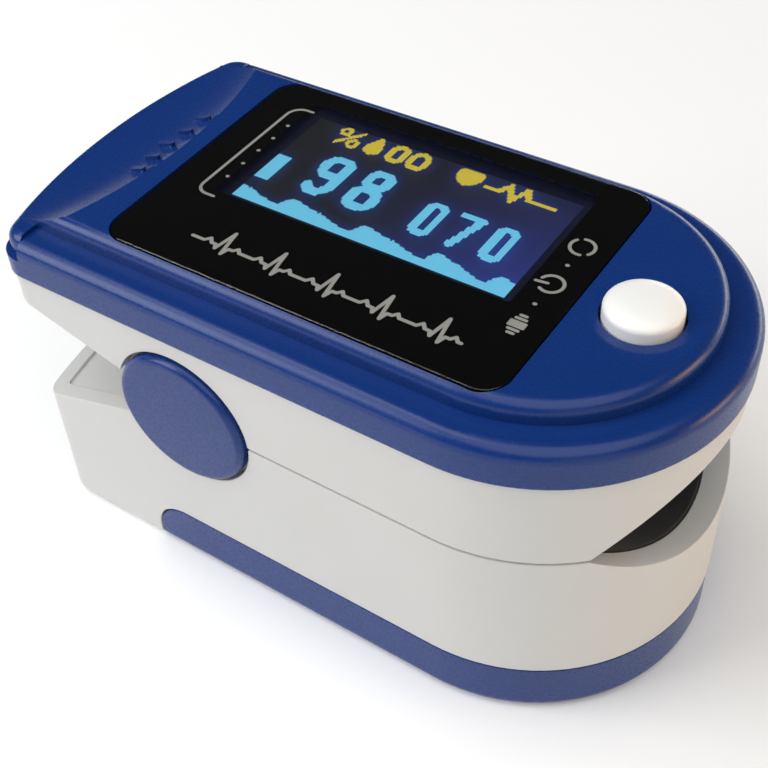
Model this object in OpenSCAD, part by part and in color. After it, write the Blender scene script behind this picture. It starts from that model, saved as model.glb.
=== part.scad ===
// Fingertip pulse oximeter: a sprung clip that closes on a finger.
// X points out of the finger opening, Y goes across, Z is up, and the origin is on the table
// under the case, 28.5 behind its front. All sizes are in millimetres.
// The lower half stands still. The upper half turns on the hinge pin, the power button slides
// down, and the battery cover slides off towards the finger opening.

/* [Case] */
// Length of the case, from the pushing end to the finger opening
body_l = 57.8; // [57:0.2:60]
// Width of the case at the blue rim
body_w = 31; // [31:0.25:32]
// Height of the lens face above the table
face_z = 32; // [32:0.25:33]

/* [Hinge] */
// Distance of the hinge axis behind the middle of the case
hinge_back = 9.9; // [9.5:0.1:10.5]
// Height of the hinge axis
hinge_z = 18.7; // [18.6:0.1:18.9]
// Radius of the blue disc over each end of the hinge
disc_r = 6.15; // [5.8:0.05:6.3]
// Diameter of the hinge pin
pin_d = 2; // [1.8:0.1:2.2]
// Rise of the upper half's rear edge, per millimetre behind the hinge
upper_rise = 0.286; // [0.26:0.002:0.3]
// Fall of the lower half's rear edge, per millimetre behind the hinge
lower_fall = 0.31; // [0.3:0.002:0.34]

/* [Finger opening] */
// Radius of the arch over the finger
arch_r = 14; // [13.5:0.1:14.2]
// Height of the top of the arch
arch_top = 24.3; // [24:0.1:24.4]
// Radius of the dip under the finger
dip_r = 17; // [16.5:0.1:18]
// Height of the bottom of the dip
dip_bottom = 14.5; // [14.4:0.1:14.8]

/* [Display and button] */
// Length of the lens
lens_l = 34.3; // [33:0.1:34.5]
// Width of the lens
lens_w = 24.4; // [24:0.1:24.6]
// How far in front of the middle of the case the lens ends
lens_front = 16.2; // [15.8:0.1:16.4]
// Width of the lit area of the display, which is half as deep
lit_w = 24.35; // [23:0.05:24.5]
// How far the power button is in front of the middle of the case
button_x = 20.65; // [20.4:0.05:20.9]
// Radius of the power button
button_r = 2.8; // [2.6:0.05:3]

/* [Battery] */
// Diameter of a cell
cell_d = 10.5; // [10.2:0.1:10.5]
// Length of a cell with its contact
cell_l = 44.5; // [44:0.1:44.5]
// Height of the battery cover's edge
cover_z = 5.3; // [5:0.1:5.5]

/* [Hidden] */
$fn = 96;
half_w = body_w / 2;
front_x = 28.5;
rear_x = front_x - body_l;
arc_x = front_x - half_w;         // centre of every front arc, so that all of them are parallel
corner_y = 13.02;                 // centre of each corner of the pushing end
corner_r = half_w - corner_y;
rear_r = corner_r + 46.5;         // the end's arc meets the corners in the direction 0.96, 0.28
rear_c = rear_x + rear_r;
corner_x = rear_c - 0.96 * 46.5;
rim_z = face_z - 5;               // joint between the blue cover and the white shell
ledge_z = face_z - 1.7;           // step round the raised part of the cover
tail_z = face_z - 3.3;            // groove between the two tiers at the pushing end
roof_z = face_z - 2.4;            // underside of the cover's roof
upper_z = hinge_z + 0.15;         // lower edge of the upper half in front of the hinge
lower_z = hinge_z - 0.15;         // upper edge of the lower half in front of the hinge
hinge_x = -hinge_back;
bay_back = hinge_x - 3.3;         // the hinge mechanism lies between these two
bay_front = hinge_x + 2.9;
lip = 2;                          // the pads end this far inside the edge of the opening
arch_z = arch_top - arch_r;       // axis of the arch
dip_z = dip_bottom + dip_r;       // axis of the dip
shell_in = 0.25;                  // the white shells stand back under the rim by this much
cell_y = cell_d / 2 + 0.1;
cell_z = 1.5 + cell_d / 2;
bay_top = cell_z + cell_d / 2 + 0.2;
cell_x = -25.1;                   // rear end of the cells
lens_x = lens_front - lens_l / 2;
lit_x = lens_x + 0.18;            // middle of the lit area
lit_y = 3.46;
board_z = rim_z - 0.4;            // underside of the main board
sense_x = 6;                      // the two optical windows face each other here

blue = "#1d4690";
white = "#d8d7d3";
black = "#141414";
steel = "#b9bcc0";
green = "#1f6b3f";

// ---------------------------------------------------------------- shared shapes

// Half section of a plate whose outer edge is rounded by top_r above and base_r below
module edge_section(w, z0, z1, top_r, base_r) {
    translate([0, z0 + base_r]) square([w, z1 - z0 - top_r - base_r]);
    if (top_r > 0) {
        translate([0, z1 - top_r - 0.01]) square([w - top_r, top_r + 0.01]);
        translate([w - top_r, z1 - top_r]) intersection() {
            circle(r = top_r);
            translate([-0.01, -0.01]) square(top_r + 0.02);
        }
    }
    if (base_r > 0) {
        translate([0, z0]) square([w - base_r, base_r + 0.01]);
        translate([w - base_r, z0 + base_r]) intersection() {
            circle(r = base_r);
            translate([-0.01, -base_r - 0.01]) square(base_r + 0.02);
        }
    }
}

// Plate with a half round front, straight sides and a square rear end
module bullet(w, back, z0, z1, top_r = 0, base_r = 0) {
    translate([arc_x, 0, 0]) rotate([0, 0, -90])
        rotate_extrude(angle = 180) edge_section(w, z0, z1, top_r, base_r);
    translate([back, 0, 0]) rotate([90, 0, 90]) linear_extrude(arc_x - back) {
        edge_section(w, z0, z1, top_r, base_r);
        mirror([1, 0]) edge_section(w, z0, z1, top_r, base_r);
    }
}

// The case outline as a plate, moved in by d: a half round front, straight sides, and a rear
// end that is an arc between two corners. Every edge is a true arc.
module slab(d, z0, z1, top_r = 0, base_r = 0) {
    bullet(half_w - d, corner_x, z0, z1, top_r, base_r);
    for (side = [0, 1]) mirror([0, side, 0]) translate([corner_x, corner_y, 0]) intersection() {
        rotate_extrude() edge_section(corner_r - d, z0, z1, top_r, base_r);
        translate([0, 0, z0 - 1]) linear_extrude(z1 - z0 + 2)
            polygon([[0, 0], [0, 8], [-8, 8], [-9.6, 2.8]]);
    }
    translate([rear_c, 0, 0]) intersection() {
        rotate_extrude() edge_section(rear_r - d, z0, z1, top_r, base_r);
        translate([0, 0, z0 - 1]) linear_extrude(z1 - z0 + 2)
            polygon([[0, 0], [-57.6, 16.8], [-57.6, -16.8]]);
    }
}

// Block between two corners
module block(a, b) {
    translate(a) cube(b - a);
}

// Round bar across the case, from y0 to y1, at x and z
module cross_bar(x, z, r, y0, y1) {
    translate([x, y0, z]) rotate([-90, 0, 0]) cylinder(r = r, h = y1 - y0);
}

// Round bar along the case, from x0 to x1, on the height z
module long_bar(z, r, x0, x1, y = 0) {
    translate([x0, y, z]) rotate([0, 90, 0]) cylinder(r = r, h = x1 - x0);
}

// Plate with four round corners, on the height z0, reaching up to z1
module tile(x0, x1, y0, y1, r, z0, z1) {
    translate([0, 0, z0]) linear_extrude(z1 - z0) {
        translate([x0 + r, y0]) square([x1 - x0 - 2 * r, y1 - y0]);
        translate([x0, y0 + r]) square([x1 - x0, y1 - y0 - 2 * r]);
        for (x = [x0 + r, x1 - r], y = [y0 + r, y1 - r]) translate([x, y]) circle(r = r);
    }
}

// Everything above the upper half's lower edge, moved up by lift. It is drawn from the side.
module above_upper_edge(lift = 0) {
    rise = upper_rise * (hinge_x - rear_x + 3);
    rotate([90, 0, 0]) linear_extrude(2 * body_w, center = true) polygon([
        [rear_x - 3, 40], [front_x + 3, 40], [front_x + 3, upper_z + lift], [hinge_x, upper_z + lift],
        [hinge_x, hinge_z + 0.6 + lift], [rear_x - 3, hinge_z + 0.6 + rise + lift]]);
}

// Everything below the lower half's upper edge, moved down by drop
module below_lower_edge(drop = 0) {
    fall = lower_fall * (hinge_x - rear_x + 3);
    rotate([90, 0, 0]) linear_extrude(2 * body_w, center = true) polygon([
        [rear_x - 3, -2], [front_x + 3, -2], [front_x + 3, lower_z - drop], [hinge_x, lower_z - drop],
        [hinge_x, hinge_z - 0.6 - drop], [rear_x - 3, hinge_z - 0.6 - fall - drop]]);
}

// Side view of the battery cover, grown by g: its rear end is rounded off at the top
module cover_side(g = 0) {
    r = 3.5;
    x = rear_x + 13.8 + r;
    rotate([90, 0, 0]) linear_extrude(2 * body_w, center = true) {
        translate([x, -2]) square([body_l, cover_z + 2 + g]);
        translate([x, cover_z - r]) circle(r = r + g);
        translate([x - r - g, -2]) square([r + g + 0.1, cover_z - r + 2]);
    }
}

// Both sides of the hinge disc's seat: the walls stand back around the disc
module disc_seats(r, y) {
    cross_bar(hinge_x, hinge_z, r, y, half_w + 2);
    cross_bar(hinge_x, hinge_z, r, -half_w - 2, -y);
}

// ---------------------------------------------------------------- lower half

// White lower case: battery bay below, finger dip above, a deck to squeeze at the rear
module lower_shell() {
    color(white) {
        difference() {
            intersection() {
                slab(shell_in + 0.05, 0, hinge_z, 0, 1.2);
                below_lower_edge();
            }
            // rounded lower corner of the pushing end
            difference() {
                block([rear_x - 2, -half_w, -1], [rear_x + 3.3, half_w, 3]);
                cross_bar(rear_x + 3.3, 3, 3, -half_w, half_w);
            }
            // seat of the battery cover, all round and below the bay's rim
            difference() {
                cover_side(0.15);
                bullet(half_w - 2.1, rear_x, 1.4, cover_z + 1);
            }
            // grooves that the battery cover's two rails run in
            for (side = [-1, 1]) translate([0, side * (half_w - 2.1), 3.6]) rotate([45, 0, 0])
                translate([-7, -0.45, -0.45]) cube([body_l, 0.9, 0.9]);
            // battery bay, which is open downwards in front of its rear pocket
            block([cell_x - 1, -cell_d - 0.5, 1.4], [cell_x + cell_l + 1, cell_d + 0.5, bay_top]);
            block([rear_x + 14, -cell_d - 0.5, -1], [cell_x + cell_l + 1, cell_d + 0.5, 2]);
            // finger dip, cut deeper behind the lip so that the pad lies flush
            long_bar(dip_z, dip_r, bay_front - 0.3, front_x + 1);
            intersection() {
                long_bar(dip_z, dip_r + 1, bay_front - 0.3, front_x);
                bullet(half_w - shell_in - lip, bay_front - 1, 10, 30);
            }
            // hinge bay, and the shallow recess of the rear deck
            block([bay_back, -13.3, 14.2], [bay_front, 13.3, 30]);
            intersection() {
                slab(1.9, 12, 30);
                block([rear_x, -half_w, 0], [bay_back + 0.1, half_w, 30]);
                difference() {
                    translate([0, 0, 20]) cube([100, 100, 40], center = true);
                    below_lower_edge(0.3);
                }
            }
            // seats of the spring legs, and the bores that the discs' hubs fill
            for (side = [-1, 1]) translate([0, side * 5.6 - 1.52, 0])
                block([hinge_x - 5.7, -0.6, hinge_z - 2.2], [bay_back + 0.1, 0.6, hinge_z]);
            cross_bar(hinge_x, hinge_z, 1.85, -half_w, half_w);
            // window and lead of the light sensor
            block([sense_x - 3.2, -2.7, 11], [sense_x + 3.2, 2.7, 20]);
            block([hinge_x + 1.5, -2.3, 11], [bay_front - 0.1, 2.3, 15]);
            disc_seats(disc_r + 0.3, half_w - 1.3);
        }
        // lugs that carry the hinge pin
        difference() {
            for (side = [-1, 1]) lower_lug(side, 11.6, 13.1, 13.9);
            cross_bar(hinge_x, hinge_z, pin_d / 2 + 0.02, -half_w, half_w);
        }
    }
}

// One hinge lug on the lower half: round at the axis, with a foot down to the height z0
module lower_lug(side, y0, y1, z0) {
    ya = side > 0 ? y0 : -y1;
    cross_bar(hinge_x, hinge_z, 3, ya, ya + y1 - y0);
    block([hinge_x - 3, ya, z0], [hinge_x + 2.7, ya + y1 - y0, hinge_z]);
}

// Black rubber pad that the finger lies on, with a stop for the fingertip
module lower_pad() {
    color(black) difference() {
        union() {
            intersection() {
                difference() {
                    long_bar(dip_z, dip_r + 0.95, bay_front + 0.1, front_x);
                    long_bar(dip_z, dip_r - 0.1, bay_front, front_x + 1);
                }
                block([bay_front, -half_w, 10], [front_x, half_w, lower_z - 0.1]);
                bullet(half_w - shell_in - lip - 0.1, bay_front - 1, 10, 30);
            }
            // fingertip stop
            intersection() {
                block([bay_front + 0.1, -11, 13], [bay_front + 1.3, 11, 30]);
                long_bar(arch_z, arch_r - 0.9, bay_front, bay_front + 2);
                long_bar(dip_z, dip_r + 0.5, bay_front, bay_front + 2);
            }
        }
        block([sense_x - 3.1, -2.6, 10], [sense_x + 3.1, 2.6, 20]);
    }
}

// Clear window over the light sensor
module sensor_window() {
    color("#8d2f24") intersection() {
        block([sense_x - 3, -2.5, 12.55], [sense_x + 3, 2.5, 16]);
        difference() {
            cube([100, 100, 100], center = true);
            long_bar(dip_z, dip_r - 0.05, -10, 30);
        }
    }
}

// Small board with the photodiode, under the window
module sensor_board() {
    color(green) block([sense_x - 4.2, -2.5, 11.68], [sense_x + 4.2, 2.5, 12.16]);
    color(black) block([sense_x - 1.6, -1.4, 12.15], [sense_x + 1.6, 1.4, 12.5]);
}

// Steel pin that both halves turn on
module hinge_pin() {
    color(steel) cross_bar(hinge_x, hinge_z, pin_d / 2, 1.25 - half_w, half_w - 1.25);
}

// Two wound springs on the pin, whose legs push the rear ends apart
module torsion_springs() {
    wire = 0.4;
    ring = 1.75;
    turns = 5;
    leg = 5.4;
    reach = (turns - 1) / 2 * wire * 1.9;
    color(steel) for (side = [-1, 1]) translate([hinge_x, side * 5.6, hinge_z]) {
        for (i = [0:turns - 1]) translate([0, (i - (turns - 1) / 2) * wire * 1.9, 0])
            rotate([90, 0, 0]) rotate_extrude() translate([ring, 0]) circle(r = wire, $fn = 32);
        for (s = [-1, 1]) translate([-leg, s * reach, s * (ring - 0.02)]) rotate([0, 90, 0])
            cylinder(r = wire - 0.04, h = leg + 0.15, $fn = 32);
    }
}

// Blue discs over the ends of the hinge, each with a hub on the pin
module side_discs() {
    color(blue) for (side = [0, 1]) mirror([0, side, 0]) translate([hinge_x, half_w - 1, hinge_z])
        rotate([-90, 0, 0]) difference() {
            union() {
                rotate_extrude() edge_section(disc_r, 0, 1.25, 0.6, 0);
                translate([0, 0, -1.3]) cylinder(r = 1.8, h = 1.4);
            }
            translate([0, 0, -2]) cylinder(r = pin_d / 2 + 0.02, h = 1.9);
        }
}

// Two AAA cells side by side, end for end
module batteries() {
    for (side = [-1, 1]) translate([side > 0 ? cell_x : cell_x + cell_l, side * cell_y, cell_z])
        rotate([0, side * 90, 0]) {
            color("#c9a227") rotate_extrude() edge_section(cell_d / 2, 0, cell_l - 1, 0.5, 0.5);
            color(steel) translate([0, 0, cell_l - 1.2]) cylinder(r = 1.9, h = 1.2);
        }
}

// Coiled contact on the flat end of each cell, drawn as its stack of turns
module battery_springs() {
    color(steel) for (side = [-1, 1])
        translate([side > 0 ? cell_x - 0.05 : cell_x + cell_l + 0.05, side * cell_y, cell_z])
            rotate([0, side > 0 ? -90 : 90, 0]) {
                for (i = [0:1]) translate([0, 0, 0.2 + i * 0.3]) rotate_extrude()
                    translate([2.2 + i * 0.5, 0]) circle(r = 0.25, $fn = 24);
                for (i = [0:1]) translate([0, 0, 0.2 + i * 0.3])
                    translate([2.2 + i * 0.5 - 0.3, -0.2, -0.15]) cube([0.6, 0.4, 0.3]);
                translate([2.2, -0.2, 0.1]) cube([0.6, 0.4, 0.5]);
            }
}

// Flat contact on the button end of each cell
module battery_contacts() {
    color(steel) for (side = [-1, 1])
        translate([side > 0 ? cell_x + cell_l + 0.05 : cell_x - 0.35, side * cell_y, 0])
            block([0, -3, cell_z - 3], [0.3, 3, cell_z + 3]);
}

// Flat lead from the sensor to the main board, past the front of the hinge pin
module sensor_flex() {
    t = 0.25;
    x = bay_front - 0.75;
    color("#b5651d") {
        block([x, -2, 11.9], [sense_x - 4.3, 2, 11.9 + t]);
        block([x, -2, 11.9], [x + t, 2, board_z - 0.35]);
        block([x - 4, -2, board_z - 0.35 - t], [x + t, 2, board_z - 0.35]);
    }
}

// ---------------------------------------------------------------- battery cover

// Blue tray that closes the battery bay and slides off to the front
module battery_cover() {
    color(blue) {
        difference() {
            intersection() {
                bullet(half_w - 0.35, rear_x, 0, cover_z, 0, 1.2);
                cover_side();
            }
            bullet(half_w - 1.8, rear_x, 1.15, cover_z + 1);
            // ribbed thumb grip on the underside
            for (i = [0:5]) cross_bar(front_x - 22 + i * 1.8, -0.25, 0.6, -4.5, 4.5);
        }
        // rails that run in the lower case's grooves
        intersection() {
            for (side = [-1, 1]) translate([0, side * (half_w - 1.8), 3.6]) rotate([45, 0, 0])
                translate([-5, -0.32, -0.32]) cube([17.6, 0.64, 0.64]);
            bullet(half_w - 1.2, rear_x, 2, 5);
        }
    }
}

// ---------------------------------------------------------------- upper half

// White upper case: the arch over the finger, and the deck that the thumb pushes down
module upper_shell() {
    color(white) {
        difference() {
            intersection() {
                slab(shell_in, hinge_z, rim_z - 0.05);
                above_upper_edge();
            }
            // arch, cut deeper behind the lip so that the pad lies flush
            long_bar(arch_z, arch_r, bay_front, front_x + 1);
            intersection() {
                long_bar(arch_z, arch_r + 1, bay_front, front_x);
                bullet(half_w - shell_in - lip, bay_front - 1, 10, 30);
            }
            block([bay_back, -13.3, 0], [bay_front + 0.01, 13.3, 23.5]);
            // room for the electronics, deeper over the hinge and the rear deck
            slab(1.8, rim_z - 0.7, rim_z + 1);
            block([bay_back, -11, 24.7], [bay_front, 11, rim_z + 1]);
            intersection() {
                slab(1.8, hinge_z, rim_z + 1);
                block([rear_x, -half_w, 0], [bay_back - 1.2, half_w, rim_z + 1]);
                above_upper_edge(1.4);
            }
            // openings for the emitter, its board, the lead and the screws
            block([sense_x - 3.2, -2.7, 22], [sense_x + 3.2, 2.7, 28]);
            block([sense_x - 4.4, -3.2, arch_top + 1.25], [sense_x + 4.4, 3.2, 28]);
            block([bay_front - 1.3, -2.3, 20], [bay_front - 0.1, 2.3, 28]);
            for (side = [-1, 1]) translate([rear_x + 6.8, side * 9, 0]) {
                cylinder(r = 2.1, h = 24.3);
                cylinder(r = 1, h = 30);
            }
            for (side = [-1, 1]) translate([0, side * 5.6 + 1.52, 0])
                block([hinge_x - 5.7, -0.6, hinge_z], [bay_back + 0.1, 0.6, hinge_z + 2.2]);
            disc_seats(disc_r + 0.3, half_w - 1.3);
            cross_bar(hinge_x, hinge_z, 3.3, -13.3, 13.3);
            cross_bar(hinge_x, hinge_z, 2.1, -half_w, half_w);
        }
        // bosses that the screws' heads bear on, and four feet under the main board
        for (side = [-1, 1]) translate([rear_x + 6.8, side * 9, 24.3]) difference() {
            cylinder(r = 3, h = 1.2);
            translate([0, 0, -1]) cylinder(r = 1, h = 3);
        }
        for (x = [0, 17], side = [-1, 1]) translate([x, side * (x > 9 ? 8 : 12), rim_z - 0.8])
            cylinder(r = 1.1, h = board_z - 0.02 - rim_z + 0.8);
        // ears that turn on the pin
        difference() {
            for (side = [-1, 1]) upper_ear(side, 9.9, 11.3, 23.6);
            cross_bar(hinge_x, hinge_z, pin_d / 2 + 0.07, -half_w, half_w);
        }
    }
}

// One ear of the upper half: round at the axis, hanging from the height z1
module upper_ear(side, y0, y1, z1) {
    ya = side > 0 ? y0 : -y1;
    cross_bar(hinge_x, hinge_z, 3, ya, ya + y1 - y0);
    block([hinge_x - 3, ya, hinge_z], [hinge_x + 2.7, ya + y1 - y0, z1]);
}

// Black rubber pad that lies on the fingernail
module upper_pad() {
    color(black) difference() {
        intersection() {
            long_bar(arch_z, arch_r + 0.95, bay_front + 0.1, front_x);
            block([bay_front, -half_w, upper_z + 0.1], [front_x, half_w, 30]);
            bullet(half_w - shell_in - lip - 0.1, bay_front - 1, 10, 30);
        }
        long_bar(arch_z, arch_r - 0.4, bay_front - 1, front_x + 1);
        block([sense_x - 3.1, -2.6, 20], [sense_x + 3.1, 2.6, 30]);
    }
}

// Clear window under the two light emitters
module emitter_window() {
    color("#8d2f24") difference() {
        block([sense_x - 3, -2.5, 22], [sense_x + 3, 2.5, arch_top + 1.2]);
        long_bar(arch_z, arch_r - 0.35, -10, 30);
    }
}

// Small board with the red and infrared emitters
module emitter_board() {
    color(green) block([sense_x - 4.2, -3, arch_top + 1.3], [sense_x + 4.2, 3, arch_top + 1.8]);
    color(black) for (x = [-1.3, 1.3])
        block([sense_x + x - 0.8, -0.6, arch_top + 1.21], [sense_x + x + 0.8, 0.6, arch_top + 1.31]);
}

// Thumb scoop, moved up by lift: a shallow hollow whose front edge is an arc round the thumb
module thumb_scoop(lift = 0) {
    translate([rear_x - 30.3, 0, lift]) rotate_extrude() intersection() {
        translate([32.6, face_z - 1.6 + 17]) circle(r = 17, $fn = 480);
        translate([28, face_z - 2]) square([16, 5]);
    }
}

// Blue cover: a rim all round, a raised part with the lens and button, and a thumb scoop
module top_cover() {
    flare_x = rear_x + 4.7;
    flare_z = face_z - 1.35;
    fillet = 1.5;
    side = half_w - 2.6;
    color(blue) {
        difference() {
            union() {
                // rim, lower at the pushing end
                difference() {
                    slab(0, rim_z, ledge_z, 1.1, 0);
                    block([rear_x - 1, -half_w - 1, tail_z], [flare_x, half_w + 1, face_z]);
                }
                intersection() {
                    slab(0, rim_z, tail_z - 0.05, 0.5, 0);
                    block([rear_x - 1, -half_w - 1, 0], [flare_x + 0.2, half_w + 1, face_z]);
                }
                // raised part, and its flare to the full width at the pushing end
                bullet(side, rear_x + 2.9, tail_z - 0.3, face_z, 1, 0);
                intersection() {
                    slab(0.5, tail_z, flare_z, 1, 0.5);
                    block([rear_x - 1, -half_w - 1, 0], [flare_x, half_w + 1, face_z]);
                }
                intersection() {
                    slab(1.3, tail_z - 0.25, tail_z + 0.25);
                    block([rear_x - 1, -half_w - 1, 0], [flare_x + 0.1, half_w + 1, face_z]);
                }
                for (s = [0, 1]) mirror([0, s, 0]) difference() {
                    block([flare_x - 0.1, side - 0.3, ledge_z - 0.5],
                          [flare_x + fillet, side + fillet - 0.1, flare_z - 0.4]);
                    translate([flare_x + fillet - 0.03, side + fillet - 0.03, 0])
                        cylinder(r = fillet, h = face_z + 1);
                }
            }
            thumb_scoop();
            // hollow inside
            slab(1.5, rim_z - 1, tail_z - 0.4);
            bullet(side - 1.3, rear_x + 3.9, rim_z - 1, roof_z);
            // seat of the lens, and the window over the display
            tile(lens_x - lens_l / 2 - 0.12, lens_x + lens_l / 2 + 0.12, -lens_w / 2 - 0.12,
                 lens_w / 2 + 0.12, 2.1, face_z - 1.1, face_z + 1);
            tile(lit_x - 14.2, lit_x + 14.2, lit_y - 11.6, lit_y + 7.9, 1, roof_z - 1, face_z);
            // dimple and bore of the power button
            translate([button_x, 0, face_z + 19.35]) sphere(r = 19.8, $fn = 360);
            translate([button_x, 0, roof_z - 1]) cylinder(r = button_r + 0.2, h = 4);
        }
        // raised ribs in the scoop, for grip
        difference() {
            for (i = [-2:2]) translate([rear_x + 7.5 + abs(i) * 0.25, i * 2.1, face_z - 1.7])
                tile(-0.85, 0.85, -0.26, 0.26, 0.25, 0, 3);
            thumb_scoop(0.38);
        }
        // posts for the screws
        for (s = [-1, 1]) translate([rear_x + 6.8, s * 9, 0]) difference() {
            translate([0, 0, 25.6]) cylinder(r = 2, h = roof_z - 25.5);
            translate([0, 0, 25]) cylinder(r = 0.8, h = 4);
        }
    }
}

// Screws that hold the cover to the upper case, driven from the deck
module cover_screws() {
    color(steel) for (side = [-1, 1]) translate([rear_x + 6.8, side * 9, 0]) difference() {
        union() {
            translate([0, 0, 24.35]) cylinder(r = 0.78, h = 4.4);
            translate([0, 0, 23.3]) cylinder(r = 1.8, h = 1.0);
            translate([0, 0, 24.25]) cylinder(r = 0.78, h = 0.2);
        }
        for (a = [0, 90]) rotate([0, 0, a]) translate([-1.1, -0.2, 23]) cube([2.2, 0.4, 0.8]);
    }
}

// Lens over the display
module display_lens() {
    color(black) tile(lens_x - lens_l / 2, lens_x + lens_l / 2, -lens_w / 2, lens_w / 2, 2,
                      face_z - 1.05, face_z);
}

// Glass display panel with its lit area
module oled_panel() {
    color("#16213f") tile(lit_x - 13.9, lit_x + 13.9, lit_y - 11.3, lit_y + 7.6, 0.5,
                          face_z - 2.7, face_z - 1.3);
}

// White frame that holds the display panel above the board
module oled_carrier() {
    x0 = lit_x - 13.9;
    x1 = lit_x + 13.9;
    y0 = lit_y - 11.3;
    y1 = lit_y + 7.6;
    color("#eceae4") difference() {
        union() {
            tile(x0, x1, y0, y1, 0.5, face_z - 3.4, face_z - 2.75);
            for (x = [x0, x1 - 1.6], y = [y0, y1 - 1.6])
                block([x, y, board_z + 0.85], [x + 1.6, y + 1.6, face_z - 3]);
        }
        block([x0 + 2, y0 + 2, board_z], [x1 - 2, y1 - 2, face_z]);
    }
}

// Main board, with notches for the screw posts
module main_board() {
    color(green) difference() {
        bullet(half_w - 2.3, rear_x + 5, board_z, board_z + 0.8);
        for (s = [-1, 1]) translate([rear_x + 6.8, s * 9, board_z - 1]) cylinder(r = 2.4, h = 4);
    }
}

// Chips and small parts soldered to the main board
module board_parts() {
    z = board_z + 0.82;
    color(black) {
        tile(-9, -2, 0, 7, 0.3, z, z + 0.8);
        tile(2, 7, -3, 2, 0.3, z, z + 0.7);
        tile(4, 8, 5, 9, 0.3, z, z + 0.7);
    }
    color(steel) {
        tile(-6, -2.8, -6.5, -4.6, 0.5, z, z + 0.8);
        for (x = [11:1.6:14.5], y = [-5.6, -3.9]) block([x, y, z], [x + 1, y + 0.6, z + 0.45]);
    }
    // plug of the flat lead, and the buzzer, on the underside over the hinge and the deck
    color("#e8e4d8") block([bay_front - 4.8, -2.4, board_z - 0.33], [bay_front - 1.8, 2.4, board_z - 0.02]);
    color(black) translate([rear_x + 10.4, 0, board_z - 1.42]) cylinder(r = 3.5, h = 1.4);
}

// Push switch under the power button
module tact_switch() {
    z = board_z + 0.82;
    color("#3a3a3c") difference() {
        block([button_x - 1.8, -1.8, z], [button_x + 1.8, 1.8, z + 1.2]);
        translate([button_x, 0, z + 0.1]) cylinder(r = 0.86, h = 2);
    }
}

// Plunger of the push switch
module switch_plunger() {
    z = board_z + 0.82;
    color("#e9e4d6") translate([button_x, 0, z + 0.55]) cylinder(r = 0.8, h = roof_z - 0.62 - z - 0.55);
}

// White power button, held in the cover by its flange
module power_button() {
    dome = 7.5;
    top = face_z + 1.3;
    color("#f7f6f1") translate([button_x, 0, 0]) {
        intersection() {
            rotate_extrude() edge_section(button_r, roof_z - 0.3, top, 0.75, 0);
            translate([0, 0, top - dome]) sphere(r = dome);
        }
        translate([0, 0, roof_z - 0.6]) cylinder(r = button_r + 0.7, h = 0.5);
    }
}

lower_shell();
lower_pad();
sensor_window();
sensor_board();
hinge_pin();
torsion_springs();
side_discs();
batteries();
battery_springs();
battery_contacts();
sensor_flex();
battery_cover();
upper_shell();
upper_pad();
emitter_window();
emitter_board();
top_cover();
cover_screws();
display_lens();
oled_panel();
oled_carrier();
main_board();
board_parts();
tact_switch();
switch_plunger();
power_button();
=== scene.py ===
import bmesh
import bpy
import numpy as np
from mathutils import Matrix, Vector


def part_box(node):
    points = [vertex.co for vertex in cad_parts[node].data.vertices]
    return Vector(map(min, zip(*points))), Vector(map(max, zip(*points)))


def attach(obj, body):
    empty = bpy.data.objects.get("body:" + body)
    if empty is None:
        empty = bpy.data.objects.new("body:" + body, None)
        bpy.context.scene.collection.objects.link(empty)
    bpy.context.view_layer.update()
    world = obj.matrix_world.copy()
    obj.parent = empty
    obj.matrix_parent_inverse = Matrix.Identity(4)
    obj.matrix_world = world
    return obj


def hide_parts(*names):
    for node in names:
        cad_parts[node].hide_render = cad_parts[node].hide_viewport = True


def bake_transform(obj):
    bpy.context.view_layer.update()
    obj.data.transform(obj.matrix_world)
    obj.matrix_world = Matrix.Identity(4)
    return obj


# A fingertip pulse oximeter: the looks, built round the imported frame. Metres, Z up.

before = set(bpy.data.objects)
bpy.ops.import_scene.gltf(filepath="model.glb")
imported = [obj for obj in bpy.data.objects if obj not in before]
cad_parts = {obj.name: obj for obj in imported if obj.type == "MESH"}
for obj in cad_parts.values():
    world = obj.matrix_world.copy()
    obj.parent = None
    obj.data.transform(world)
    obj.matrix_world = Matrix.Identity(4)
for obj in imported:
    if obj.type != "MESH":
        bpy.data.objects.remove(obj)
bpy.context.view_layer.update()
mm = 0.001
scene = bpy.context.scene


def nodeBox(node):
    # The low and the high corner of a CAD node, in metres.
    low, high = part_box(node)
    return np.array(low), np.array(high)


lensLow, lensHigh = nodeBox("display_lens")
panelLow, panelHigh = nodeBox("oled_panel")
pinLow, pinHigh = nodeBox("hinge_pin")
hingeX = (pinLow[0] + pinHigh[0]) / 2
hingeZ = (pinLow[2] + pinHigh[2]) / 2
print("frame loaded:", len(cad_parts), "nodes")

view = {
    "place": (43.84, -63.41, 90.91),   # mm
    "azimuth": -51.14,     # degrees, where the camera stands round the object
    "elevation": 44.64,
    "roll": -5.43,
    "lens": 60.21,         # mm
    "sensor": 36,          # mm
    "shift": (0.0735, 0.0045),
    "clip": (0.005, 20),   # m
}


def standAt(thing, place, right, back):
    # Stands a camera or a lamp at a place in metres; back points away from what it looks at.
    turn = Matrix((right, np.cross(back, right), back)).transposed().to_4x4()
    thing.matrix_world = Matrix.Translation(place) @ turn
    scene.collection.objects.link(thing)


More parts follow.
